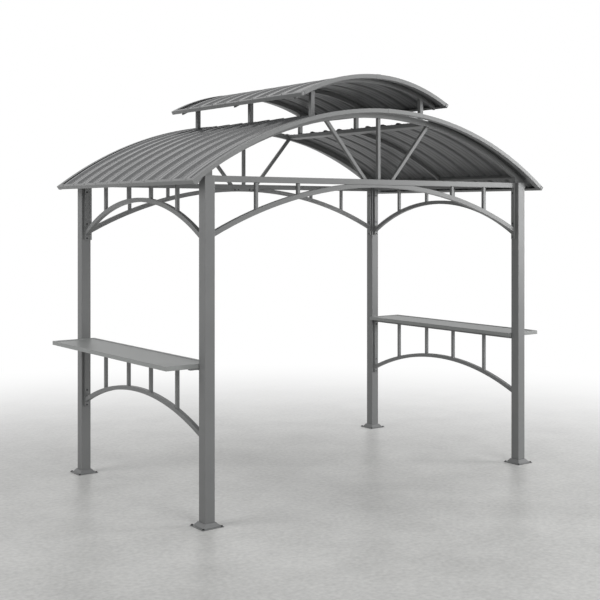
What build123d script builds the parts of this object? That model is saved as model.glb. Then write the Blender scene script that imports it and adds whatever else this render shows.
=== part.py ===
"""Grill gazebo: a steel shelter for a barbecue, with a two-tier barrel roof and a shelf on each side.

Millimetres, +Z up. The origin is on the ground under the middle of the shelter. X runs along the
wide side, from the left posts to the right posts, and Y runs from the front to the back.
"""
import os
from math import asin, atan2, cos, degrees, hypot, radians, sin, sqrt

from build123d import *

os.makedirs("parts", exist_ok=True)

# Clearances
seat_gap = 0.2          # between a curved roof layer and what it lies on
fit_gap = 0.3           # between a sheet edge and the trim that takes it

# Posts and feet
post_x = 1170.0         # centre of a post from the middle, across
post_y = 712.0          # centre of a post from the middle, front to back
post_size = 60.0
post_corner = 3.0
post_top = 1790.0
plate_size = 126.0
plate_thickness = 4.0
anchor_edge = 8.0       # middle of an anchor hole from the edges of its plate
anchor_hole = 8.0
cover_base = 100.0
cover_top = 70.0
cover_height = 20.0
cover_sheet = 1.5

# Front and back frames
end_frame_y = 704.0     # middle of the tie beam and the brace, front to back
tie_height = 32.0
tie_depth = 26.0
brace_tube = 27.0
brace_radius = 2545.0   # upper face of the long arch
brace_flat = 12.0       # cut off the crown of the arch, along the tie beam
brace_bar_x = (584.0, 861.0)
bar_size = 18.0
strip_width = 26.0      # flat tube that stands against the post
strip_thickness = 12.0
brace_strip_tail = 45.0  # strip below the foot of its arch
splice_length = 180.0
splice_height = 46.0
splice_thickness = 3.0
web_y = 695.0           # middle of the king post and the struts, front to back
web_tube = 20.0
strut_foot_x = 105.0
strut_head_x = 381.0

# Side frames, above and below
rail_tube = 26.0
arch_tube = 24.0
side_arch_crown = 1683.5
side_arch_radius = 1245.0
side_strip_tail = 25.0
low_arch_crown = 615.0
low_arch_radius = 1603.0
low_strip_tail = 28.0
side_bar_y = (130.0, 416.0)
counter_rail = 33.0     # height of the rail under a shelf

# Shelves
shelf_top = 828.0
shelf_height = 23.0
shelf_inner_x = 1115.0
shelf_outer_x = 1391.0
shelf_rim_width = 14.0
shelf_rim_height = 4.0
shelf_sheet = 2.0
bearer_reach = 50.0     # bearer under a shelf end, past the outer face of the post
bearer_height = 8.0
bearer_depth = 25.0

# Corrugated sheet and trim
sheet = 1.5
rib_pitch = 145.0
rib_base = 40.0
rib_crest = 22.0
rib_height = 9.0
trim_sheet = 1.5
trim_above = 11.0       # trim above the flat of the sheet
trim_below = 11.5
trim_flange = 22.0      # across an eave rail
fascia_flange = 36.0
joiner_length = 30.0
joiner_thickness = 1.0

# Main roof
roof_radius = 2204.0    # outer face of the flat of the sheet
roof_seat = 10.5671     # underside of an end rafter above the middle of a post top
roof_overhang = 83.0    # past the faces of the end rafters
roof_half_width = 1304.0
rafter_tube = 20.0
gable_height = 33.0     # rafters at the front and the back
rafter_tail = 36.0      # the same rafters past the outer faces of the posts
purlin_width = 50.0
purlin_height = 25.0
purlin_x = 403.0
panel_lap = 44.0        # sheet over the ridge purlin
rib_margin = 50.0       # least flat between the last rib and the end of a sheet

# Upper roof
vent_radius = 1175.0
vent_rise = 206.5       # crown of the upper sheet above the crown of the main roof
vent_overhang = 84.0    # past the faces of the first and last rafters
vent_half_width = 556.0
vent_rafter_height = 25.0
vent_post_tube = 25.0
vent_post_y = 606.0
vent_rib_margin = 110.0

anchor_spacing = plate_size - 2 * anchor_edge
roof_half_length = end_frame_y + tie_depth / 2 + roof_overhang
vent_half_length = vent_post_y + rafter_tube / 2 + vent_overhang

# Layers of the main roof, from the sheet inwards, as radii about its axis
purlin_sag = (purlin_width / 2) ** 2 / (2 * roof_radius)
layer_top = roof_radius - sheet - seat_gap - purlin_sag
layer_bottom = layer_top - purlin_height
gable_bottom = layer_top - gable_height
roof_axis = post_top + roof_seat - sqrt(gable_bottom ** 2 - post_x ** 2)
roof_crown = roof_axis + roof_radius

# The same for the upper roof
vent_crown = roof_crown + vent_rise
vent_axis = vent_crown - vent_radius
vent_layer_top = vent_radius - sheet - seat_gap
vent_layer_bottom = vent_layer_top - vent_rafter_height

# Angles about the roof axes, from straight up
eave_angle = degrees(asin(roof_half_width / roof_radius))
vent_eave_angle = degrees(asin(vent_half_width / vent_radius))
vent_rail_reach = (trim_flange * cos(radians(vent_eave_angle))
                   + trim_below * sin(radians(vent_eave_angle)))
vent_rafter_half = vent_half_width - vent_rail_reach - fit_gap
purlin_radius = (layer_top + layer_bottom) / 2
purlin_angle = degrees(asin(purlin_x / purlin_radius))
rafter_radius = layer_top - rafter_tube / 2
side_purlin_angle = degrees(asin(post_x / rafter_radius))

cover_slope = degrees(atan2((cover_base - cover_top) / 2, cover_height))
post_inner_x = post_x - post_size / 2
post_inner_y = post_y - post_size / 2
tie_bottom = post_top - tie_height
brace_top = tie_bottom - fit_gap
brace_crown = brace_top + brace_flat
rail_bottom = post_top - rail_tube
purlin_half_length = end_frame_y - tie_depth / 2 - fit_gap

SIDES = (("left", -1), ("right", 1))
ENDS = (("front", -1), ("back", 1))


def save(piece, name):
    """Label a finished piece and write its STEP file."""
    piece.part.label = name
    export_step(piece.part, "parts/" + name + ".step")


def end_plane(y):
    """Upright plane across the shelter at a depth: local x is X and local y is Z."""
    return Plane.XZ.offset(-y)


def side_plane(x):
    """Upright plane along the shelter at a distance from the middle: local x is Y, local y is Z."""
    return Plane.YZ.offset(x)


def radial_plane(axis_height, angle):
    """Plane through a roof axis, leaning by an angle to the right: local x is Y, local y is outwards."""
    turn = radians(angle)
    return Plane(origin=(0, 0, axis_height), x_dir=(0, 1, 0), z_dir=(cos(turn), 0, -sin(turn)))


def roof_line(axis_height):
    """Axis that a barrel roof is turned about."""
    return Axis((0, 0, axis_height), (0, 1, 0))


def arch_band(crown, radius, height, half_span, foot):
    """Draw a circular band, cut off at its half span and foot level. It comes first in its sketch."""
    with Locations((0, crown - radius)):
        Circle(radius)
        Circle(radius - height, mode=Mode.SUBTRACT)
    with Locations((0, (crown + foot) / 2)):
        Rectangle(2 * half_span, crown - foot, mode=Mode.INTERSECT)


def arch_height(crown, radius, distance):
    """Height of a circular arch at a distance from its crown."""
    return crown - radius + sqrt(radius ** 2 - distance ** 2)


def arch_foot(crown, radius, height, half_span):
    """Height of the underside of an arched band where it is cut off."""
    return arch_height(crown - height, radius - height, half_span)


def upright(x, low, high, width):
    """Draw an upright bar between two heights."""
    with Locations((x, (low + high) / 2)):
        Rectangle(width, high - low)


def corrugation(radius, half_length, margin):
    """Outline of the ribbed sheet: its outer face from end to end, then its inner face back."""
    count = int(2 * (half_length - rib_base / 2 - margin) / rib_pitch) + 1
    outer = [(-half_length, radius)]
    for index in range(count):
        middle = (index - (count - 1) / 2) * rib_pitch
        outer.append((middle - rib_base / 2, radius))
        outer.append((middle - rib_crest / 2, radius + rib_height))
        outer.append((middle + rib_crest / 2, radius + rib_height))
        outer.append((middle + rib_base / 2, radius))
    outer.append((half_length, radius))
    inner = [(along, height - sheet) for along, height in reversed(outer)]
    return outer + inner


def channel(half_length, end, radius, grow):
    """Draw the C section of a fascia that closes one end of a roof and opens inwards."""
    face = end * (half_length + grow)
    low = radius - trim_below - grow
    high = radius + trim_above + grow
    depth = fascia_flange + grow
    with Locations((face - end * depth / 2, (low + high) / 2)):
        Rectangle(depth, high - low)
    with Locations((face - end * (depth + trim_sheet) / 2, (low + high) / 2)):
        Rectangle(depth - trim_sheet, high - low - 2 * trim_sheet, mode=Mode.SUBTRACT)


brace_half_span = post_inner_x - strip_thickness
brace_strip_foot = arch_foot(brace_crown, brace_radius, brace_tube, brace_half_span) - brace_strip_tail
half_span = post_inner_y - strip_thickness
side_strip_foot = arch_foot(side_arch_crown, side_arch_radius, arch_tube, half_span) - side_strip_tail
low_strip_foot = arch_foot(low_arch_crown, low_arch_radius, arch_tube, half_span) - low_strip_tail

# Posts, each welded to a base plate with an anchor hole in every corner
for end_name, end in ENDS:
    for side_name, side in SIDES:
        centre = (side * post_x, end * post_y)
        with BuildPart() as post:
            with BuildSketch():
                with Locations(centre):
                    Rectangle(plate_size, plate_size)
                    with GridLocations(anchor_spacing, anchor_spacing, 2, 2):
                        Circle(anchor_hole / 2, mode=Mode.SUBTRACT)
            extrude(amount=plate_thickness)
            with BuildSketch(Plane.XY.offset(plate_thickness)):
                with Locations(centre):
                    RectangleRounded(post_size, post_size, post_corner)
            extrude(amount=post_top - plate_thickness)
        save(post, end_name + "_" + side_name + "_post")

        # Loose cover with sloping walls, open below and around the post
        with BuildPart() as cover:
            with BuildSketch(Plane.XY.offset(plate_thickness)):
                with Locations(centre):
                    Rectangle(cover_base, cover_base)
            extrude(amount=cover_height, taper=cover_slope)
            with BuildSketch(Plane.XY.offset(plate_thickness)):
                with Locations(centre):
                    Rectangle(cover_base - 2 * cover_sheet, cover_base - 2 * cover_sheet)
            extrude(amount=cover_height - cover_sheet, taper=cover_slope, mode=Mode.SUBTRACT)
            with BuildSketch(Plane.XY.offset(plate_thickness)):
                with Locations(centre):
                    Rectangle(post_size + 2 * fit_gap, post_size + 2 * fit_gap)
            extrude(amount=cover_height, mode=Mode.SUBTRACT)
        save(cover, end_name + "_" + side_name + "_foot_cover")

# Front and back frames
for end_name, end in ENDS:
    frame_plane = end_plane(end * end_frame_y)

    with BuildPart() as tie:
        with BuildSketch(frame_plane):
            with Locations((0, post_top - tie_height / 2)):
                Rectangle(2 * post_inner_x, tie_height)
        extrude(amount=tie_depth / 2, both=True)
        inner_face = end * (end_frame_y - tie_depth / 2)
        with BuildSketch(end_plane(inner_face)):
            with Locations((0, post_top - splice_height / 2)):
                Rectangle(splice_length, splice_height)
        extrude(amount=end * splice_thickness)
    save(tie, end_name + "_tie_beam")

    with BuildPart() as brace:
        with BuildSketch(frame_plane):
            arch_band(brace_crown, brace_radius, brace_tube, brace_half_span, brace_strip_foot)
            with Locations((0, (brace_top + brace_strip_foot) / 2)):
                Rectangle(2 * brace_half_span, brace_top - brace_strip_foot, mode=Mode.INTERSECT)
        extrude(amount=tie_depth / 2, both=True)
        with BuildSketch(frame_plane):
            for bar_x in brace_bar_x:
                foot = arch_height(brace_crown, brace_radius, bar_x) - brace_tube / 2
                upright(bar_x, foot, brace_top, bar_size)
                upright(-bar_x, foot, brace_top, bar_size)
        extrude(amount=bar_size / 2, both=True)
        with BuildSketch(frame_plane):
            for side in (-1, 1):
                strip_x = side * (post_inner_x - strip_thickness / 2)
                upright(strip_x, brace_strip_foot, brace_top, strip_thickness)
        extrude(amount=strip_width / 2, both=True)
    save(brace, end_name + "_brace")

    # King post and two struts, cut off along the tie beam and the arched rafter above
    with BuildPart() as web:
        with BuildSketch(end_plane(end * web_y)):
            strut_run = strut_head_x - strut_foot_x
            strut_rise = arch_height(roof_axis + gable_bottom, gable_bottom, strut_head_x) - post_top
            reach = 2 * hypot(strut_run, strut_rise)
            lean = degrees(atan2(strut_run, strut_rise))
            upright(0, post_top, roof_crown, web_tube)
            for side in (-1, 1):
                middle_x = side * (strut_head_x + strut_foot_x) / 2
                with Locations((middle_x, post_top + strut_rise / 2)):
                    Rectangle(web_tube, reach, rotation=-side * lean)
            with Locations((0, (post_top + roof_crown) / 2)):
                Rectangle(2 * post_x, roof_crown - post_top, mode=Mode.INTERSECT)
            with Locations((0, roof_axis)):
                Circle(gable_bottom - fit_gap, mode=Mode.INTERSECT)
        extrude(amount=web_tube / 2, both=True)
    save(web, end_name + "_gable_web")

    # Arched rafter with a level shoe on each post top and a tail that runs on past the post
    with BuildPart() as rafter:
        with BuildSketch(frame_plane):
            tail_x = post_x + post_size / 2 + rafter_tail
            tail_foot = arch_height(roof_axis + gable_bottom, gable_bottom, tail_x)
            arch_band(roof_axis + layer_top, layer_top, gable_height, tail_x, tail_foot)
            shoe_top = arch_height(roof_axis + gable_bottom, gable_bottom, post_inner_x)
            for side in (-1, 1):
                upright(side * post_x, post_top, shoe_top, post_size)
                with Locations((side * post_x, tail_foot)):
                    Rectangle(post_size + 2 * fit_gap, 2 * (post_top - tail_foot), mode=Mode.SUBTRACT)
        extrude(amount=tie_depth / 2, both=True)
    save(rafter, end_name + "_rafter")

# Side frames, shelves and the long members of the roof
for side_name, side in SIDES:
    frame_plane = side_plane(side * post_x)

    with BuildPart() as side_frame:
        with BuildSketch(frame_plane):
            arch_band(side_arch_crown, side_arch_radius, arch_tube, half_span, side_strip_foot)
            with Locations((0, post_top - rail_tube / 2)):
                Rectangle(2 * half_span, rail_tube)
        extrude(amount=arch_tube / 2, both=True)
        with BuildSketch(frame_plane):
            for bar_y in side_bar_y:
                foot = arch_height(side_arch_crown, side_arch_radius, bar_y) - arch_tube / 2
                upright(bar_y, foot, rail_bottom, bar_size)
                upright(-bar_y, foot, rail_bottom, bar_size)
        extrude(amount=bar_size / 2, both=True)
        with BuildSketch(frame_plane):
            for end in (-1, 1):
                strip_y = end * (post_inner_y - strip_thickness / 2)
                upright(strip_y, side_strip_foot, post_top, strip_thickness)
        extrude(amount=strip_width / 2, both=True)
    save(side_frame, side_name + "_side_frame")

    shelf_half_length = post_inner_y - fit_gap
    shelf_centre = (side * (shelf_inner_x + shelf_outer_x) / 2, 0)
    shelf_depth = shelf_outer_x - shelf_inner_x
    board_top = shelf_top - shelf_rim_height
    with BuildPart() as shelf:
        with BuildSketch(Plane.XY.offset(shelf_top - shelf_height)):
            with Locations(shelf_centre):
                Rectangle(shelf_depth, 2 * shelf_half_length)
        extrude(amount=shelf_height)
        with BuildSketch(Plane.XY.offset(board_top)):
            with Locations(shelf_centre):
                Rectangle(shelf_depth - 2 * shelf_rim_width, 2 * (shelf_half_length - shelf_rim_width))
        extrude(amount=shelf_rim_height, mode=Mode.SUBTRACT)
        with BuildSketch(Plane.XY.offset(shelf_top - shelf_height)):
            with Locations(shelf_centre):
                Rectangle(shelf_depth - 2 * shelf_sheet, 2 * (shelf_half_length - shelf_sheet))
        extrude(amount=shelf_height - shelf_rim_height - shelf_sheet, mode=Mode.SUBTRACT)
    save(shelf, side_name + "_shelf")

    # Counter frame: its top rail lies inside the folded edge of the shelf
    counter_top = board_top - shelf_sheet
    skirt_foot = shelf_top - shelf_height
    rail_half = shelf_half_length - shelf_sheet - fit_gap
    with BuildPart() as counter:
        with BuildSketch(frame_plane):
            arch_band(low_arch_crown, low_arch_radius, arch_tube, half_span, low_strip_foot)
        extrude(amount=arch_tube / 2, both=True)
        with BuildSketch(frame_plane):
            with Locations((0, counter_top - counter_rail / 2)):
                Rectangle(2 * rail_half, counter_rail)
            for bar_y in side_bar_y:
                foot = arch_height(low_arch_crown, low_arch_radius, bar_y) - arch_tube / 2
                upright(bar_y, foot, counter_top - bar_size / 2, bar_size)
                upright(-bar_y, foot, counter_top - bar_size / 2, bar_size)
        extrude(amount=bar_size / 2, both=True)
        with BuildSketch(frame_plane):
            for end in (-1, 1):
                strip_y = end * (post_inner_y - strip_thickness / 2)
                upright(strip_y, low_strip_foot, skirt_foot - bearer_height, strip_thickness)
        extrude(amount=strip_width / 2, both=True)
        bearer_end = post_x + post_size / 2 + bearer_reach
        bearer_x = side * (shelf_inner_x + bearer_end) / 2
        with BuildSketch(Plane.XY.offset(skirt_foot - bearer_height)):
            for end in (-1, 1):
                with Locations((bearer_x, end * (post_inner_y - bearer_depth / 2))):
                    Rectangle(bearer_end - shelf_inner_x, bearer_depth)
        extrude(amount=bearer_height)
    save(counter, side_name + "_counter_frame")

    with BuildPart() as purlin:
        with BuildSketch(end_plane(0)):
            turn = radians(purlin_angle)
            with Locations((side * purlin_radius * sin(turn), roof_axis + purlin_radius * cos(turn))):
                Rectangle(purlin_width, purlin_height, rotation=-side * purlin_angle)
        extrude(amount=purlin_half_length, both=True)
    save(purlin, side_name + "_ridge_purlin")

    with BuildPart() as side_purlin:
        with BuildSketch(end_plane(0)):
            turn = radians(side_purlin_angle)
            with Locations((side * rafter_radius * sin(turn), roof_axis + rafter_radius * cos(turn))):
                Rectangle(rafter_tube, rafter_tube, rotation=-side * side_purlin_angle)
        extrude(amount=purlin_half_length, both=True)
    save(side_purlin, side_name + "_eave_purlin")

    # Half rafter in the middle of the roof, between the two purlins of its side
    purlin_half_angle = degrees((purlin_width / 2 + fit_gap) / layer_bottom)
    eave_half_angle = degrees((rafter_tube / 2 + fit_gap) / layer_bottom)
    rafter_low = purlin_angle + purlin_half_angle
    rafter_high = side_purlin_angle - eave_half_angle
    start_angle = rafter_low if side > 0 else -rafter_high
    with BuildPart() as half_rafter:
        with BuildSketch(radial_plane(roof_axis, start_angle)):
            with Locations((0, rafter_radius)):
                Rectangle(rafter_tube, rafter_tube)
        revolve(axis=roof_line(roof_axis), revolution_arc=rafter_high - rafter_low)
    save(half_rafter, side_name + "_half_rafter")

    # Corrugated panel from the ridge purlin down to the eave trim, notched for the vent posts
    post_centre_x = side * (purlin_x + purlin_width / 2 - vent_post_tube / 2)
    panel_edge_x = purlin_x + purlin_width / 2 - panel_lap
    panel_low = degrees(asin(panel_edge_x / roof_radius))
    panel_high = eave_angle - degrees((trim_sheet + fit_gap) / roof_radius)
    start_angle = panel_low if side > 0 else -panel_high
    with BuildPart() as panel:
        with BuildSketch(radial_plane(roof_axis, start_angle)):
            Polygon(*corrugation(roof_radius, roof_half_length - trim_sheet - fit_gap, rib_margin),
                    align=None)
        revolve(axis=roof_line(roof_axis), revolution_arc=panel_high - panel_low)
        notch_outer = abs(post_centre_x) + vent_post_tube / 2 + fit_gap
        with BuildSketch(Plane.XY.offset(roof_axis)):
            for row_y in (-vent_post_y, 0, vent_post_y):
                with Locations((side * notch_outer / 2, row_y)):
                    Rectangle(notch_outer, vent_post_tube + 2 * fit_gap)
        extrude(amount=roof_radius + 2 * rib_height, mode=Mode.SUBTRACT)
    save(panel, side_name + "_roof_panel")

    # Posts of the upper roof, standing on the outer edge of the ridge purlin
    with BuildPart() as vent_posts:
        for row_y in (-vent_post_y, 0, vent_post_y):
            with BuildSketch(end_plane(row_y)):
                upright(post_centre_x, roof_axis, vent_crown, vent_post_tube)
                with Locations((0, vent_axis)):
                    Circle(vent_layer_bottom - seat_gap, mode=Mode.INTERSECT)
                with Locations((0, roof_axis)):
                    Circle(layer_top + purlin_sag + seat_gap, mode=Mode.SUBTRACT)
            extrude(amount=vent_post_tube / 2, both=True)
    save(vent_posts, side_name + "_vent_posts")

# Trim and panels that both roofs share in form
ROOFS = (
    ("main", roof_axis, roof_radius, roof_half_length, eave_angle),
    ("upper", vent_axis, vent_radius, vent_half_length, vent_eave_angle),
)
for roof_name, axis_height, radius, half_length, edge_angle in ROOFS:
    for side_name, side in SIDES:
        turn = radians(edge_angle)
        edge = Plane(
            origin=(side * radius * sin(turn), 0, axis_height + radius * cos(turn)),
            x_dir=(-side * cos(turn), 0, sin(turn)),
            z_dir=(0, side, 0),
        )
        with BuildPart() as eave_rail:
            with BuildSketch(edge):
                with Locations((trim_flange / 2, (trim_above - trim_below) / 2)):
                    Rectangle(trim_flange, trim_above + trim_below)
                with Locations(((trim_flange + trim_sheet) / 2, (trim_above - trim_below) / 2)):
                    Rectangle(trim_flange - trim_sheet, trim_above + trim_below - 2 * trim_sheet,
                              mode=Mode.SUBTRACT)
            extrude(amount=half_length, both=True)
        save(eave_rail, roof_name + "_" + side_name + "_eave_rail")

    # A fascia is two bent halves under a joiner at the crown
    fascia_angle = edge_angle - degrees((trim_flange + fit_gap) / (radius - trim_below))
    joiner_angle = degrees(joiner_length / radius)
    for end_name, end in ENDS:
        with BuildPart() as fascia:
            with BuildSketch(radial_plane(axis_height, -fascia_angle)):
                channel(half_length, end, radius, 0)
            revolve(axis=roof_line(axis_height), revolution_arc=2 * fascia_angle)
            with BuildSketch(radial_plane(axis_height, -joiner_angle / 2)):
                channel(half_length, end, radius, joiner_thickness)
            revolve(axis=roof_line(axis_height), revolution_arc=joiner_angle)
        save(fascia, roof_name + "_" + end_name + "_fascia")

# Upper roof: three rafters under one corrugated sheet
for row_name, row_y in (("front", -vent_post_y), ("middle", 0), ("back", vent_post_y)):
    with BuildPart() as vent_rafter:
        with BuildSketch(end_plane(row_y)):
            arch_band(vent_axis + vent_layer_top, vent_layer_top, vent_rafter_height,
                      vent_rafter_half, vent_axis)
        extrude(amount=rafter_tube / 2, both=True)
    save(vent_rafter, "upper_" + row_name + "_rafter")

vent_panel_angle = vent_eave_angle - degrees((trim_sheet + fit_gap) / vent_radius)
with BuildPart() as upper_panel:
    with BuildSketch(radial_plane(vent_axis, -vent_panel_angle)):
        Polygon(*corrugation(vent_radius, vent_half_length - trim_sheet - fit_gap, vent_rib_margin),
                align=None)
    revolve(axis=roof_line(vent_axis), revolution_arc=2 * vent_panel_angle)
save(upper_panel, "upper_roof_panel")
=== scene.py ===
"""Finish of a steel grill gazebo: coats, sheet, screws and a plain studio around its CAD frame.

Lengths are in metres, and the frame is the CAD model's: +Z up, +X along the wide side, and the
front at -Y.
"""

from math import asin, cos, pi, radians, sin

import bmesh
import bpy
from mathutils import Matrix, Vector


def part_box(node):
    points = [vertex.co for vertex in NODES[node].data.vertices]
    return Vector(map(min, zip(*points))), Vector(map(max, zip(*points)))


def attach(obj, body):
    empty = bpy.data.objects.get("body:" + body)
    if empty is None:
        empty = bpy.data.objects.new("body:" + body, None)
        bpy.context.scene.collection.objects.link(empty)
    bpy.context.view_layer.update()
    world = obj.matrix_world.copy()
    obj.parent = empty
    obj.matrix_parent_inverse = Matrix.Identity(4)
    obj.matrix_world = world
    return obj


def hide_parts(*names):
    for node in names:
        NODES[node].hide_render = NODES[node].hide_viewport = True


bl_info = {
    "name": "Grill Gazebo",
    "version": (1, 0, 0),
    "blender": (4, 5, 0),
    "location": "3D View > Sidebar > Gazebo",
    "description": "Dresses the CAD frame of a grill gazebo and sets up a studio around it",
    "category": "Object",
}

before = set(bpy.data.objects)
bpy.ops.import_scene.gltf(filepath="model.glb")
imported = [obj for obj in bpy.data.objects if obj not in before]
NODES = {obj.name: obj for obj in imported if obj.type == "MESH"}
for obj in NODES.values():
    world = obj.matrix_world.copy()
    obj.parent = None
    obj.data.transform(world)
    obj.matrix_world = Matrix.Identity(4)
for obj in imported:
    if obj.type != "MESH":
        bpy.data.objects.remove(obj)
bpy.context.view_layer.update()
BODY = "root"

ENDS = (("front", -1), ("back", 1))
SIDES = (("left", -1), ("right", 1))

# Measures of the frame that its boxes don't give. The strips stand against the posts
STRIP_WIDTH = 0.026
STRIP_THICKNESS = 0.012
POST_X = -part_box("left_side_frame")[0].x - STRIP_WIDTH / 2
PLATE_THICKNESS = 0.004
ANCHOR_REACH = 0.055
UPPER_SCREWS = (1.724, 1.530, 1.443)
LOWER_SCREWS = (0.770, 0.513, 0.423)
SPLICE_SCREWS = (-0.075, -0.045, 0.045, 0.075)
SPLICE_SCREW_RISE = 0.010
MAIN_RIBS = 11
UPPER_RIBS = 8

# Rounding and angles of the meshes
FOLD_ROUNDING = 0.0012
CAP_ROUNDING = 0.0008
BOLT_ROUNDING = 0.0004
SHARP_ANGLE = radians(35)
FOLD_ANGLE = radians(12)
FLAT_ANGLE = radians(0.3)
WELD = 0.00001
# The CAD panel's inner face, below the flat of the sheet
PANEL_THICKNESS = 0.0015
# Half the width of sheet round a vent post that is looked through for a notch
NOTCH_REACH = 0.08
# How far caps and plates stand out from the ends of the eave rails
CAP_PROUD = 0.0002
PLATE_PROUD = 0.0001
# Inner end of a corner plate under a straight line along the foot of the trim
PLATE_FALL = 0.0016
# Fineness of turned shapes, and the heads of screws and anchors
SHEET_STEP = radians(1.0)
STRIP_STEPS = 70
HEAD_STEPS = 14
HEAD_RISE = 0.55
WASHER_THICKNESS = 0.001
WASHER_SHARE = 1.15
BOLT_DEPTH = 0.004

FLOOR_RADIUS = 14.0
FADE_CENTRE = (-1.25, -1.39, 0.0)
FADE_START = 1.9
FADE_END = 6.6
AMBIENT = 0.22
# Name, place, point that it looks at, width and power of each lamp
LAMPS = (("Key light", (6.5, -5.0, 2.0), (0.0, 0.0, 1.2), 2.0, 220.0),
         ("High light", (5.5, -6.0, 5.0), (0.0, 0.0, 1.2), 3.0, 60.0),
         ("Front light", (-1.6, -11.5, 5.0), (0.0, 0.0, 1.0), 5.0, 570.0),
         ("Right light", (11.0, 0.8, 4.5), (0.0, 0.0, 1.2), 5.0, 340.0),
         ("Left light", (-9.0, 1.0, 5.0), (0.0, 0.0, 1.2), 5.0, 400.0))
SENSOR_WIDTH = 36.0
LENS = 64.356
SHIFT_Y = -0.14577
CAMERA_PLACE = (-4.0735, -5.3698, 1.6)
CAMERA_TURN = (pi / 2, 0.0, radians(-36.90))
WHITE = (1.0, 1.0, 1.0, 1.0)


def srgb(code):
    """Linear colour of an sRGB hex code."""
    parts = [int(code[i:i + 2], 16) / 255 for i in (0, 2, 4)]
    linear = [p / 12.92 if p <= 0.04045 else ((p + 0.055) / 1.055) ** 2.4 for p in parts]
    return (*linear, 1.0)


def size(name, description, default):
    """A length that the user can change."""
    return bpy.props.FloatProperty(name=name, description=description, default=default,
                                   unit="LENGTH", precision=4)


def tint(name, description, code):
    """A colour that the user can change."""
    return bpy.props.FloatVectorProperty(name=name, description=description, default=srgb(code),
                                         size=4, min=0.0, max=1.0, subtype="COLOR")


class GazeboSizes(bpy.types.PropertyGroup):
    """Sizes of what the finish adds to the frame."""

    tube_edge: size("Tube edge", "Rounding of the edges of tubes and plates", 0.0015)
    sheet_edge: size("Sheet edge", "Rounding of the edges of folded sheet", 0.0004)
    main_radius: size("Main roof radius", "Outer face of the flat of the main roof sheet", 2.204)
    main_axis: size("Main roof axis", "Height of the axis of the main roof", -0.026)
    upper_radius: size("Upper roof radius", "Outer face of the flat of the upper roof sheet", 1.175)
    upper_axis: size("Upper roof axis", "Height of the axis of the upper roof", 1.2095)
    main_half_width: size("Main half width", "Eave of the main roof from the middle", 1.304)
    upper_half_width: size("Upper half width", "Eave of the upper roof from the middle", 0.556)
    trim_rise: size("Trim rise", "Top of the trim above the flat of the sheet", 0.011)
    trim_drop: size("Trim drop", "Foot of the trim below the flat of the sheet", 0.0115)
    trim_flange: size("Trim flange", "Width of an eave rail", 0.022)
    fascia_flange: size("Fascia flange", "Depth of a fascia's top flange", 0.036)
    cap_inset: size("Cap inset", "Edge of an end cap behind the faces of its rail", 0.0025)
    cap_depth: size("Cap depth", "Depth of an end cap", 0.006)
    post_notch: size("Post notch", "Gap between the sheet and a vent post", 0.001)
    corner_width: size("Corner width", "Width of a corner plate along the fascia", 0.060)
    corner_skirt: size("Corner skirt", "Depth of a corner plate below the trim", 0.011)
    corner_gauge: size("Corner gauge", "Thickness of a corner plate", 0.0008)
    strip_height: size("Strip height", "Height of a closure strip", 0.0095)
    strip_width: size("Strip width", "Width of a closure strip", 0.008)
    sheet_gauge: size("Sheet gauge", "Thickness of the roof sheet", 0.0007)
    rib_pitch: size("Rib pitch", "Distance between two ribs of the roof sheet", 0.145)
    rib_base: size("Rib base", "Width of a rib at its foot", 0.040)
    rib_crest: size("Rib crest", "Width of a rib at its top", 0.022)
    rib_height: size("Rib height", "Height of a rib", 0.009)
    bead_width: size("Bead width", "Width of a small bead between two ribs", 0.012)
    bead_height: size("Bead height", "Height of a small bead between two ribs", 0.0014)
    bead_offset: size("Bead offset", "Distance of a bead from the middle of the flat", 0.0175)
    screw_head: size("Screw head", "Radius of the screw heads on the frame", 0.0055)
    trim_screw: size("Trim screw", "Radius of the screw heads on the roof trim", 0.0045)
    anchor_head: size("Anchor head", "Radius of the anchor heads in the base plates", 0.0056)


class GazeboColours(bpy.types.PropertyGroup):
    """Colours of the coats and of the studio."""

    frame_coat: tint("Frame coat", "Powder coat of posts, beams and braces", "6e6f6f")
    roof_coat: tint("Roof coat", "Baked coat of the roof sheet", "545556")
    backing: tint("Backing coat", "Inner face of the roof sheet", "616263")
    foam: tint("Foam", "Closure strips under the fascias' top flanges", "3c3d3e")
    trim_coat: tint("Trim coat", "Powder coat of fascias and eave rails", "777878")
    shelf_coat: tint("Shelf coat", "Powder coat of the shelves", "888a89")
    cap: tint("Cap", "Moulded caps in the ends of the eave rails", "858686")
    screw: tint("Screw", "Blackened steel of the screws", "3a3a3b")
    floor: tint("Floor", "Pale concrete floor", "cacac8")


def per_metre(millimetres):
    """Scale of a pattern whose features are about this size."""
    return 1000.0 / millimetres


def add(tree, kind, inputs=None, **settings):
    """Add one shader node with its settings, and set or link its inputs."""
    node = tree.nodes.new("ShaderNode" + kind)
    for name, value in settings.items():
        setattr(node, name, value)
    for name, value in (inputs or {}).items():
        if isinstance(value, bpy.types.NodeSocket):
            tree.links.new(value, node.inputs[name])
        else:
            node.inputs[name].default_value = value
    return node


def new_material(name):
    """An empty material and its node tree."""
    material = bpy.data.materials.new(name)
    material.use_nodes = True
    material.node_tree.nodes.clear()
    return material, material.node_tree


def shade(value, share):
    """A colour made lighter or darker by a share."""
    return tuple(min(1.0, part * share) for part in value[:3]) + (1.0,)


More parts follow.
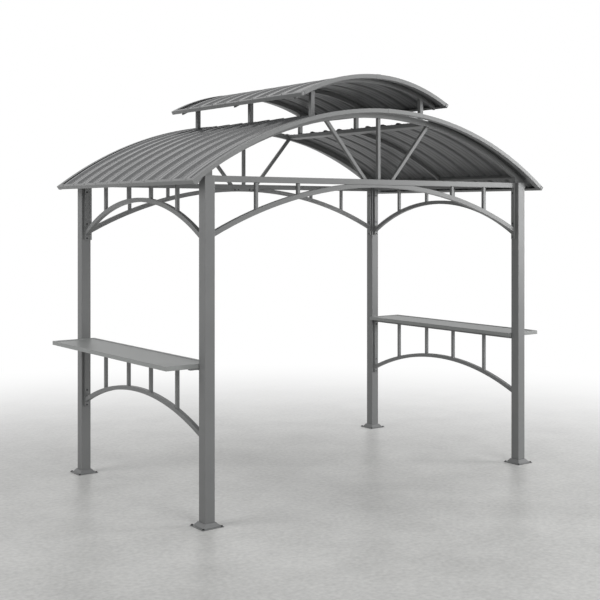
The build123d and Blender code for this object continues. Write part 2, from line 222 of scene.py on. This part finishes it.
def painted_metal(name, base, roughness, mottle_mm, peel_mm, peel_depth, stretch=(1.0, 1.0, 1.0),
                  ior=1.5):
    """Paint over steel: a faint drift of tone, a drift of gloss and the paint's orange peel.

    The mottle, the peel and the depth of the peel are in millimetres.
    """
    material, tree = new_material(name)
    place = add(tree, "TexCoord").outputs["Object"]
    drawn = add(tree, "Mapping", {"Vector": place, "Scale": stretch}).outputs["Vector"]
    drift = add(tree, "TexNoise", {"Vector": drawn, "Scale": per_metre(mottle_mm), "Detail": 4.0})
    peel = add(tree, "TexNoise", {"Vector": place, "Scale": per_metre(peel_mm), "Detail": 2.0})
    tone = add(tree, "MixRGB", {"Fac": drift.outputs["Fac"], "Color1": shade(base, 0.90),
                                "Color2": shade(base, 1.10)})
    gloss = add(tree, "MapRange", {"Value": drift.outputs["Fac"], "To Min": roughness - 0.05,
                                   "To Max": roughness + 0.05})
    bump = add(tree, "Bump", {"Height": peel.outputs["Fac"], "Strength": 0.5,
                              "Distance": peel_depth / 1000.0})
    coat = add(tree, "BsdfPrincipled", {"Base Color": tone.outputs["Color"],
                                        "Roughness": gloss.outputs["Result"],
                                        "Normal": bump.outputs["Normal"], "IOR": ior})
    add(tree, "OutputMaterial", {"Surface": coat.outputs["BSDF"]})
    return material


def powder_coat(name, base):
    """Polyester powder coat on steel: satin, with a fine peel that breaks up its highlights."""
    # The peel is drawn coarser than most real peel, which would be too fine to show
    return painted_metal(name, base, 0.42, 160.0, 4.0, 0.05)


def baked_sheet_coat(name, base):
    """Baked coat on rolled sheet: glossier than powder, with slight waves along the roll."""
    return painted_metal(name, base, 0.23, 120.0, 30.0, 0.04, stretch=(0.25, 1.0, 0.25), ior=1.8)


def backing_coat(name, base):
    """Thin backing coat on the sheet's inner face: duller and even, with no hard highlights."""
    return painted_metal(name, base, 0.38, 120.0, 30.0, 0.04, stretch=(0.25, 1.0, 0.25))


def closed_cell_foam(name, base):
    """Closed-cell foam of the closure strips: dull and dark, with a pitted skin."""
    # Real pits are under 1 mm, and are drawn coarser so that they can show
    return painted_metal(name, base, 0.80, 30.0, 2.0, 0.20)


def moulded_plastic(name, base):
    """Moulded plastic of the caps: an even tone and a soft sheen, lighter than the trim."""
    # The moulded grain is drawn coarser than real, which is a fraction of a millimetre
    return painted_metal(name, base, 0.45, 40.0, 1.5, 0.02)


def blackened_steel(name, base):
    """Blackened steel of the screws: dark metal with a soft oily sheen."""
    # The sheen drifts over about 3 mm, a third of a head
    material, tree = new_material(name)
    place = add(tree, "TexCoord").outputs["Object"]
    grain = add(tree, "TexNoise", {"Vector": place, "Scale": per_metre(3.0), "Detail": 2.0})
    gloss = add(tree, "MapRange", {"Value": grain.outputs["Fac"], "To Min": 0.30, "To Max": 0.50})
    steel = add(tree, "BsdfPrincipled", {"Base Color": base, "Metallic": 0.8,
                                         "Roughness": gloss.outputs["Result"]})
    add(tree, "OutputMaterial", {"Surface": steel.outputs["BSDF"]})
    return material


def viewed_directly(tree):
    """One where the eye, a reflection or clear glass sees the surface, and nought for its light."""
    path = add(tree, "LightPath").outputs
    seen = add(tree, "Math", {0: path["Is Camera Ray"], 1: path["Is Glossy Ray"]}, operation="ADD")
    seen = add(tree, "Math", {0: seen.outputs[0], 1: path["Is Transmission Ray"]}, operation="ADD",
               use_clamp=True)
    return seen.outputs[0]


def pale_concrete(name, base):
    """Power-floated concrete: cloudy grey with a low sheen, lost in white light further back."""
    # The specks are drawn coarser than real sand grains, which are too fine to show
    material, tree = new_material(name)
    place = add(tree, "TexCoord").outputs["Object"]
    clouds = add(tree, "TexNoise", {"Vector": place, "Scale": per_metre(450.0), "Detail": 8.0,
                                    "Roughness": 0.68})
    specks = add(tree, "TexNoise", {"Vector": place, "Scale": per_metre(24.0), "Detail": 4.0})
    drift = add(tree, "MixRGB", {"Fac": 0.45, "Color1": clouds.outputs["Fac"],
                                 "Color2": specks.outputs["Fac"]})
    tone = add(tree, "MapRange", {"Value": drift.outputs["Color"], "From Min": 0.35,
                                  "From Max": 0.65})
    grey = add(tree, "MixRGB", {"Fac": tone.outputs["Result"], "Color1": shade(base, 0.84),
                                "Color2": shade(base, 1.18)})
    slab = add(tree, "BsdfPrincipled", {"Base Color": grey.outputs["Color"], "Roughness": 0.36,
                                        "Specular IOR Level": 0.22})
    centred = add(tree, "VectorMath", {0: place, 1: FADE_CENTRE}, operation="SUBTRACT")
    reach = add(tree, "VectorMath", {0: centred.outputs["Vector"]}, operation="LENGTH")
    fade = add(tree, "MapRange", {"Value": reach.outputs["Value"], "From Min": FADE_START,
                                  "From Max": FADE_END}, interpolation_type="SMOOTHSTEP")
    share = add(tree, "Math", {0: fade.outputs["Result"], 1: viewed_directly(tree)},
                operation="MULTIPLY")
    white = add(tree, "Emission", {"Color": WHITE, "Strength": 1.0})
    mix = add(tree, "MixShader", {0: share.outputs[0], 1: slab.outputs["BSDF"],
                                  2: white.outputs["Emission"]})
    add(tree, "OutputMaterial", {"Surface": mix.outputs["Shader"]})
    return material


def coat_of(name, make, base):
    """A material by name, made once."""
    return bpy.data.materials.get(name) or make(name, tuple(base))


def dress(names, material, edge):
    """Coat CAD nodes and round their edges."""
    for name in names:
        piece = NODES[name]
        piece.material_slots[0].material = material
        weld = piece.modifiers.new("Joined faces", "WELD")
        weld.merge_threshold = WELD
        flat = piece.modifiers.new("Flat faces", "DECIMATE")
        flat.decimate_type = "DISSOLVE"
        flat.angle_limit = FLAT_ANGLE
        bevel = piece.modifiers.new("Rounded edges", "BEVEL")
        bevel.width = edge
        bevel.segments = 2
        bevel.limit_method = "ANGLE"
        bevel.angle_limit = SHARP_ANGLE
        piece.modifiers.new("Even shading", "WEIGHTED_NORMAL")


def as_mesh(name, shape):
    """Turn a finished bmesh into a mesh."""
    mesh = bpy.data.meshes.new(name)
    shape.to_mesh(mesh)
    shape.free()
    return mesh


def new_piece(name, shape, material, replaced=()):
    """Make a piece of the shelter from a finished bmesh."""
    mesh = as_mesh(name, shape)
    mesh.materials.append(material)
    mesh.shade_smooth()
    mesh.set_sharp_from_angle(angle=SHARP_ANGLE)
    piece = bpy.data.objects.new(name, mesh)
    bpy.context.scene.collection.objects.link(piece)
    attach(piece, BODY)
    if replaced:
        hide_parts(*replaced)
    return piece


def sheet_line(sizes, half_length, ribs):
    """Points of the sheet's outer line along Y: (y, height over the flat), with ribs and beads."""
    line = [(-half_length, 0.0)]

    def fold(middle, base, crest, height):
        line.extend([(middle - base / 2, 0.0), (middle - crest / 2, height),
                     (middle + crest / 2, height), (middle + base / 2, 0.0)])

    for index in range(ribs):
        middle = (index - (ribs - 1) / 2) * sizes.rib_pitch
        fold(middle, sizes.rib_base, sizes.rib_crest, sizes.rib_height)
        if index < ribs - 1:
            for step in (-1, 1):
                fold(middle + sizes.rib_pitch / 2 + step * sizes.bead_offset, sizes.bead_width,
                     sizes.bead_width / 3, sizes.bead_height)
    line.append((half_length, 0.0))
    return line


def round_edges(shape, edges, offset):
    """Bevel edges of a bmesh by a small offset."""
    bmesh.ops.bevel(shape, geom=list(edges), offset=offset, offset_type="OFFSET", affect="EDGES",
                    segments=2, profile=0.5, material=-1)


def edges_of(made):
    """Edges of what a bmesh operator has just made."""
    return {edge for vert in made["verts"] for edge in vert.link_edges}


def cut_notch(shape, low, high):
    """Cut the sheet away inside an upright box, given by two of its corners."""
    row = (low.y + high.y) / 2
    for corner in (low, high):
        for normal in ((1.0, 0.0, 0.0), (0.0, 1.0, 0.0)):
            close = [face for face in shape.faces
                     if abs(face.calc_center_median().y - row) < NOTCH_REACH]
            parts = {part for face in close for part in (*face.verts, *face.edges, face)}
            bmesh.ops.bisect_plane(shape, geom=list(parts), dist=WELD, plane_co=corner,
                                   plane_no=normal)
    inside = [face for face in shape.faces
              if low.x < face.calc_center_median().x < high.x
              and low.y < face.calc_center_median().y < high.y]
    bmesh.ops.delete(shape, geom=inside, context="FACES")


def roof_sheet(sizes, radius, axis, half_length, ribs, start, end, notches=()):
    """Ribbed sheet turned about a roof axis between two angles from straight up, as a bmesh.

    A notch is (low corner, high corner) of a box that the sheet is cut away in.
    """
    shape = bmesh.new()
    turn = Matrix.Rotation(start, 4, "Y")
    centre = Vector((0.0, 0.0, axis))
    ring = []
    for along, height in sheet_line(sizes, half_length, ribs):
        ring.append(shape.verts.new(centre + turn @ Vector((0.0, along, radius + height))))
    for near, far in zip(ring, ring[1:]):
        shape.edges.new((near, far))
    steps = max(8, round((end - start) / SHEET_STEP))
    bmesh.ops.spin(shape, geom=shape.verts[:] + shape.edges[:], cent=centre, axis=(0.0, 1.0, 0.0),
                   angle=end - start, steps=steps)
    bmesh.ops.recalc_face_normals(shape, faces=shape.faces[:])
    if sum(face.normal.z for face in shape.faces) < 0:
        bmesh.ops.reverse_faces(shape, faces=shape.faces[:])
    for low, high in notches:
        cut_notch(shape, low, high)
    folds = [edge for edge in shape.edges
             if edge.is_manifold and edge.calc_face_angle() > FOLD_ANGLE]
    round_edges(shape, folds, FOLD_ROUNDING)
    bmesh.ops.solidify(shape, geom=shape.faces[:], thickness=sizes.sheet_gauge)
    # The faces that look towards the axis take the backing coat
    for face in shape.faces:
        out = face.calc_center_median() - centre
        face.material_index = int(face.normal.x * out.x + face.normal.z * out.z < 0.0)
    return shape


def domed_head(radius):
    """Low domed screw head with a round socket, standing on the XY plane, as a mesh."""
    shape = bmesh.new()
    height = radius * HEAD_RISE
    # Shares of the radius and of the height, from the rim to the middle of the socket
    outline = ((1.0, 0.0), (1.0, 0.25), (0.85, 0.70), (0.50, 1.0), (0.38, 1.0), (0.34, 0.5),
               (0.0, 0.5))
    ring = [shape.verts.new((radius * out, 0.0, height * up)) for out, up in outline]
    for near, far in zip(ring, ring[1:]):
        shape.edges.new((near, far))
    bmesh.ops.spin(shape, geom=shape.verts[:] + shape.edges[:], cent=(0, 0, 0), axis=(0, 0, 1),
                   angle=2 * pi, steps=HEAD_STEPS, use_merge=True)
    bmesh.ops.remove_doubles(shape, verts=shape.verts[:], dist=WELD)
    bmesh.ops.recalc_face_normals(shape, faces=shape.faces[:])
    return as_mesh("Domed head", shape)


def hex_head(radius):
    """Hexagon head on a washer, standing on the XY plane, as a mesh."""
    shape = bmesh.new()
    washer = Matrix.Translation((0, 0, WASHER_THICKNESS / 2))
    rim = radius * WASHER_SHARE
    bmesh.ops.create_cone(shape, cap_ends=True, segments=20, radius1=rim, radius2=rim,
                          depth=WASHER_THICKNESS, matrix=washer)
    bolt = Matrix.Translation((0, 0, WASHER_THICKNESS + BOLT_DEPTH / 2))
    made = bmesh.ops.create_cone(shape, cap_ends=True, segments=6, radius1=radius, radius2=radius,
                                 depth=BOLT_DEPTH, matrix=bolt)
    round_edges(shape, edges_of(made), BOLT_ROUNDING)
    return as_mesh("Hexagon head", shape)


def post_notches(side_name, margin):
    """Boxes round the vent posts of one side, open towards the ridge; none for the upper roof."""
    if side_name + "_vent_posts" not in NODES:
        return ()
    low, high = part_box(side_name + "_vent_posts")
    width = high.x - low.x
    notches = []
    for row in (low.y + width / 2, 0.0, high.y - width / 2):
        near, far = (low.x - margin, 0.0) if low.x < 0 else (0.0, high.x + margin)
        notches.append((Vector((near, row - width / 2 - margin, 0.0)),
                        Vector((far, row + width / 2 + margin, 0.0))))
    return notches


def sheet_angles(low, high, radius, rib):
    """Angles of a sheet's two edges from straight up, read from the reach of its node along X."""
    edges = []
    for reach, outer in ((low, low < 0), (high, high > 0)):
        edges.append(asin(reach / (radius + rib if outer else radius - PANEL_THICKNESS)))
    return edges


def roof_lines(sizes):
    """Name of each roof, with its outer radius, the height of its axis and its half width."""
    return (("main", (sizes.main_radius, sizes.main_axis, sizes.main_half_width)),
            ("upper", (sizes.upper_radius, sizes.upper_axis, sizes.upper_half_width)))


def eave(side, radius, axis, half_width):
    """Point on the flat of the sheet at an eave, and its outward and inward directions."""
    angle = asin(half_width / radius)
    outward = Vector((side * sin(angle), 0.0, cos(angle)))
    inward = Vector((-side * cos(angle), 0.0, sin(angle)))
    return Vector((0.0, 0.0, axis)) + outward * radius, outward, inward


def set_heads(name, head, places, material):
    """Copy a head to each (point, outward direction) and make one piece of them."""
    shape = bmesh.new()
    for point, outward in places:
        before = len(shape.verts)
        shape.from_mesh(head)
        shape.verts.ensure_lookup_table()
        turn = Vector(outward).to_track_quat("Z", "Y").to_matrix().to_4x4()
        bmesh.ops.transform(shape, matrix=Matrix.Translation(point) @ turn,
                            verts=shape.verts[before:])
    bpy.data.meshes.remove(head)
    return new_piece(name, shape, material)


class GAZEBO_OT_frame(bpy.types.Operator):
    """Coat the posts, beams, braces, rafters and purlins and round their edges"""

    bl_idname = "gazebo.frame"
    bl_label = "Frame"

    def execute(self, context):
        sizes = context.scene.gazebo_sizes
        coat = coat_of("Satin powder coat", powder_coat, context.scene.gazebo_colours.frame_coat)
        other = ("roof_panel", "fascia", "eave_rail", "shelf", "foot_cover")
        dress([name for name in NODES if not name.endswith(other)], coat, sizes.tube_edge)
        dress([name for name in NODES if name.endswith("foot_cover")], coat, sizes.sheet_edge)
        return {"FINISHED"}


class GAZEBO_OT_shelves(bpy.types.Operator):
    """Coat the two shelves and round their folded edges"""

    bl_idname = "gazebo.shelves"
    bl_label = "Shelves"

    def execute(self, context):
        coat = coat_of("Shelf powder coat", powder_coat, context.scene.gazebo_colours.shelf_coat)
        dress(["left_shelf", "right_shelf"], coat, context.scene.gazebo_sizes.tube_edge)
        return {"FINISHED"}


class GAZEBO_OT_trim(bpy.types.Operator):
    """Coat the fascias and the eave rails and round their folded edges"""

    bl_idname = "gazebo.trim"
    bl_label = "Roof trim"

    def execute(self, context):
        coat = coat_of("Trim powder coat", powder_coat, context.scene.gazebo_colours.trim_coat)
        names = [name for name in NODES if name.endswith(("fascia", "eave_rail"))]
        dress(names, coat, context.scene.gazebo_sizes.sheet_edge)
        return {"FINISHED"}


class GAZEBO_OT_roof_sheets(bpy.types.Operator):
    """Make the ribbed sheets of both roofs, with the small beads between their ribs"""

    bl_idname = "gazebo.roof_sheets"
    bl_label = "Roof sheets"

    def execute(self, context):
        sizes = context.scene.gazebo_sizes
        colours = context.scene.gazebo_colours
        coat = coat_of("Baked sheet coat", baked_sheet_coat, colours.roof_coat)
        backing = coat_of("Backing coat", backing_coat, colours.backing)
        roofs = (("left_roof_panel", sizes.main_radius, sizes.main_axis, MAIN_RIBS),
                 ("right_roof_panel", sizes.main_radius, sizes.main_axis, MAIN_RIBS),
                 ("upper_roof_panel", sizes.upper_radius, sizes.upper_axis, UPPER_RIBS))
        for name, radius, axis, ribs in roofs:
            low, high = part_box(name)
            start, end = sheet_angles(low.x, high.x, radius, sizes.rib_height)
            notches = post_notches(name.split("_")[0], sizes.post_notch)
            shape = roof_sheet(sizes, radius, axis, high.y, ribs, start, end, notches)
            sheet = new_piece(name.replace("panel", "sheet"), shape, coat, (name,))
            sheet.data.materials.append(backing)
        return {"FINISHED"}


class GAZEBO_OT_closure_strips(bpy.types.Operator):
    """Fill the gap between the sheet and the top flanges of the main fascias with foam strips"""

    bl_idname = "gazebo.closure_strips"
    bl_label = "Closure strips"

    def execute(self, context):
        sizes = context.scene.gazebo_sizes
        foam = coat_of("Closed-cell foam", closed_cell_foam, context.scene.gazebo_colours.foam)
        angle = asin((sizes.main_half_width - sizes.trim_flange) / sizes.main_radius)
        centre = Vector((0.0, 0.0, sizes.main_axis))
        turn = Matrix.Rotation(-angle, 4, "Y")
        foot = sizes.main_radius - sizes.sheet_gauge
        wide, high = sizes.strip_width, sizes.strip_height
        # Out from the edge of the flange and up from the inner face of the sheet
        section = ((0.0, 0.0), (wide, 0.0), (wide, high), (0.0, high))
        shape = bmesh.new()
        for end_name, end in ENDS:
            near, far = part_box("main_" + end_name + "_fascia")
            edge = near.y + sizes.fascia_flange if end < 0 else far.y - sizes.fascia_flange
            ring = [shape.verts.new(centre + turn @ Vector((0.0, edge + end * across, foot + up)))
                    for across, up in section]
            start = shape.faces.new(ring)
            bmesh.ops.spin(shape, geom=[start, *start.edges, *start.verts], cent=centre,
                           axis=(0.0, 1.0, 0.0), angle=2 * angle, steps=STRIP_STEPS)
        bmesh.ops.recalc_face_normals(shape, faces=shape.faces[:])
        new_piece("closure_strips", shape, foam)
        return {"FINISHED"}


class GAZEBO_OT_end_caps(bpy.types.Operator):
    """Close the four ends of the eave rails of each roof with caps"""

    bl_idname = "gazebo.end_caps"
    bl_label = "End caps"

    def execute(self, context):
        sizes = context.scene.gazebo_sizes
        coat = coat_of("Moulded cap", moulded_plastic, context.scene.gazebo_colours.cap)
        wide = sizes.trim_flange - 2 * sizes.cap_inset
        high = sizes.trim_rise + sizes.trim_drop - 2 * sizes.cap_inset
        scale = Matrix.Diagonal((wide, sizes.cap_depth, high, 1.0))
        for roof, line in roof_lines(sizes):
            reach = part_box(roof + "_left_eave_rail")[1].y - sizes.cap_depth / 2 + CAP_PROUD
            shape = bmesh.new()
            for side in (-1, 1):
                edge, outward, inward = eave(side, *line)
                middle = (edge + inward * sizes.trim_flange / 2
                          + outward * (sizes.trim_rise - sizes.trim_drop) / 2)
                turn = Matrix((inward, Vector((0.0, 1.0, 0.0)), outward)).transposed().to_4x4()
                for end in (-1, 1):
                    place = Matrix.Translation(middle + Vector((0.0, end * reach, 0.0)))
                    made = bmesh.ops.create_cube(shape, size=1.0, matrix=place @ turn @ scale)
                    round_edges(shape, edges_of(made), CAP_ROUNDING)
            bmesh.ops.recalc_face_normals(shape, faces=shape.faces[:])
            new_piece(roof + "_end_caps", shape, coat)
        return {"FINISHED"}


class GAZEBO_OT_corner_plates(bpy.types.Operator):
    """Close the left corners of the main roof with plates between fascia, eave rail and rafter"""

    bl_idname = "gazebo.corner_plates"
    bl_label = "Corner plates"

    def execute(self, context):
        sizes = context.scene.gazebo_sizes
        coat = coat_of("Trim powder coat", powder_coat, context.scene.gazebo_colours.trim_coat)
        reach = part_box("main_left_eave_rail")[1].y + PLATE_PROUD
        edge, outward, inward = eave(-1, sizes.main_radius, sizes.main_axis, sizes.main_half_width)
        top, foot, skirt = sizes.trim_rise, -sizes.trim_drop, -sizes.trim_drop - sizes.corner_skirt
        wide = sizes.corner_width
        # Inward from the eave and up from the flat of the sheet; lowest a fifth of the way in
        outline = ((0.0, top), (0.0, foot), (wide / 5, skirt), (wide, foot - PLATE_FALL),
                   (sizes.trim_flange, foot), (sizes.trim_flange, top))
        shape = bmesh.new()
        for end in (-1, 1):
            along = Vector((0.0, end * reach, 0.0))
            ring = [shape.verts.new(edge + along + inward * across + outward * up)
                    for across, up in outline]
            made = bmesh.ops.extrude_face_region(shape, geom=[shape.faces.new(ring)])
            moved = [part for part in made["geom"] if isinstance(part, bmesh.types.BMVert)]
            bmesh.ops.translate(shape, vec=(0.0, end * sizes.corner_gauge, 0.0), verts=moved)
        bmesh.ops.recalc_face_normals(shape, faces=shape.faces[:])
        new_piece("main_corner_plates", shape, coat)
        return {"FINISHED"}


class GAZEBO_OT_screws(bpy.types.Operator):
    """Set the screws of the frame, the splice plates and the eave rails"""

    bl_idname = "gazebo.screws"
    bl_label = "Screws"

    def execute(self, context):
        sizes = context.scene.gazebo_sizes
        steel = coat_of("Blackened steel", blackened_steel, context.scene.gazebo_colours.screw)
        places = []
        for end_name, end in ENDS:
            low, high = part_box(end_name + "_brace")
            for side in (-1, 1):
                for level in UPPER_SCREWS:
                    face = side * (high.x - STRIP_THICKNESS)
                    places.append(((face, (low.y + high.y) / 2, level), (-side, 0, 0)))
        for side_name, side in SIDES:
            for frame_name, levels in (("_side_frame", UPPER_SCREWS),
                                       ("_counter_frame", LOWER_SCREWS)):
                low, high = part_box(side_name + frame_name)
                for end in (-1, 1):
                    for level in levels:
                        face = end * (high.y - STRIP_THICKNESS)
                        places.append(((side * POST_X, face, level), (0, -end, 0)))
        set_heads("frame_screws", domed_head(sizes.screw_head), places, steel)

        places = []
        for end_name, end in ENDS:
            low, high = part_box(end_name + "_tie_beam")
            face = high.y if end < 0 else low.y
            for x in SPLICE_SCREWS:
                places.append(((x, face, low.z + SPLICE_SCREW_RISE), (0, -end, 0)))
        set_heads("splice_screws", domed_head(sizes.screw_head), places, steel)

        painted = coat_of("Trim powder coat", powder_coat, context.scene.gazebo_colours.trim_coat)
        # The screws of the main trim are painted over, and those of the upper trim are dark
        finishes = ((MAIN_RIBS, painted), (UPPER_RIBS, steel))
        for (roof, line), (ribs, finish) in zip(roof_lines(sizes), finishes):
            places = []
            for side in (-1, 1):
                edge, outward, inward = eave(side, *line)
                middle = edge + outward * sizes.trim_rise + inward * sizes.trim_flange / 2
                for index in range(ribs):
                    along = Vector((0.0, (index - (ribs - 1) / 2) * sizes.rib_pitch, 0.0))
                    places.append((middle + along, outward))
            set_heads(roof + "_trim_screws", domed_head(sizes.trim_screw), places, finish)
        return {"FINISHED"}


class GAZEBO_OT_anchors(bpy.types.Operator):
    """Set the anchors in the corners of the base plates"""

    bl_idname = "gazebo.anchors"
    bl_label = "Anchors"

    def execute(self, context):
        sizes = context.scene.gazebo_sizes
        steel = coat_of("Blackened steel", blackened_steel, context.scene.gazebo_colours.screw)
        places = []
        for end_name, end in ENDS:
            for side_name, side in SIDES:
                low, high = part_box(end_name + "_" + side_name + "_post")
                middle = (low + high) / 2
                for x in (-1, 1):
                    for y in (-1, 1):
                        corner = Vector((middle.x + x * ANCHOR_REACH, middle.y + y * ANCHOR_REACH,
                                         PLATE_THICKNESS))
                        places.append((corner, (0, 0, 1)))
        set_heads("anchor_bolts", hex_head(sizes.anchor_head), places, steel)
        return {"FINISHED"}


def area_light(name, place, target, width, power):
    """A square soft light that looks at a point."""
    data = bpy.data.lights.new(name, "AREA")
    data.size = width
    data.energy = power
    light = bpy.data.objects.new(name, data)
    light.location = place
    light.rotation_euler = (Vector(target) - Vector(place)).to_track_quat("-Z", "Y").to_euler()
    bpy.context.scene.collection.objects.link(light)


class GAZEBO_OT_studio(bpy.types.Operator):
    """Set up the pale floor, the soft light, the white background and the camera"""

    bl_idname = "gazebo.studio"
    bl_label = "Studio"

    def execute(self, context):
        scene = context.scene
        shape = bmesh.new()
        bmesh.ops.create_circle(shape, cap_ends=True, segments=96, radius=FLOOR_RADIUS)
        mesh = as_mesh("floor", shape)
        mesh.materials.append(coat_of("Pale concrete", pale_concrete, scene.gazebo_colours.floor))
        floor = bpy.data.objects.new("floor", mesh)
        scene.collection.objects.link(floor)

        world = bpy.data.worlds.new("Studio")
        world.use_nodes = True
        tree = world.node_tree
        tree.nodes.clear()
        soft = add(tree, "Background", {"Color": WHITE, "Strength": AMBIENT})
        white = add(tree, "Background", {"Color": WHITE, "Strength": 1.0})
        mix = add(tree, "MixShader", {0: viewed_directly(tree), 1: soft.outputs["Background"],
                                      2: white.outputs["Background"]})
        add(tree, "OutputWorld", {"Surface": mix.outputs["Shader"]})
        scene.world = world

        for lamp in LAMPS:
            area_light(*lamp)

        data = bpy.data.cameras.new("Camera")
        data.sensor_width = SENSOR_WIDTH
        data.lens = LENS
        data.shift_y = SHIFT_Y
        camera = bpy.data.objects.new("Camera", data)
        camera.location = CAMERA_PLACE
        camera.rotation_euler = CAMERA_TURN
        scene.collection.objects.link(camera)
        scene.camera = camera
        scene.view_settings.view_transform = "Standard"
        return {"FINISHED"}


OPERATORS = (GAZEBO_OT_frame, GAZEBO_OT_shelves, GAZEBO_OT_trim, GAZEBO_OT_roof_sheets,
             GAZEBO_OT_closure_strips, GAZEBO_OT_end_caps, GAZEBO_OT_corner_plates,
             GAZEBO_OT_screws, GAZEBO_OT_anchors, GAZEBO_OT_studio)


class GAZEBO_PT_panel(bpy.types.Panel):
    """Buttons for the pieces of the shelter, with its sizes and colours"""

    bl_idname = "GAZEBO_PT_panel"
    bl_label = "Grill Gazebo"
    bl_space_type = "VIEW_3D"
    bl_region_type = "UI"
    bl_category = "Gazebo"

    def draw(self, context):
        for group in (context.scene.gazebo_sizes, context.scene.gazebo_colours):
            box = self.layout.box()
            for name in group.bl_rna.properties.keys():
                if name not in ("rna_type", "name"):
                    box.prop(group, name)
        for operator in OPERATORS:
            self.layout.operator(operator.bl_idname)


CLASSES = (GazeboSizes, GazeboColours) + OPERATORS + (GAZEBO_PT_panel,)


def register():
    for item in CLASSES:
        bpy.utils.register_class(item)
    bpy.types.Scene.gazebo_sizes = bpy.props.PointerProperty(type=GazeboSizes)
    bpy.types.Scene.gazebo_colours = bpy.props.PointerProperty(type=GazeboColours)


def unregister():
    del bpy.types.Scene.gazebo_colours
    del bpy.types.Scene.gazebo_sizes
    for item in reversed(CLASSES):
        bpy.utils.unregister_class(item)


def main():
    register()
    for operator in OPERATORS:
        group, name = operator.bl_idname.split(".")
        getattr(getattr(bpy.ops, group), name)()


if __name__ == "__main__":
    main()
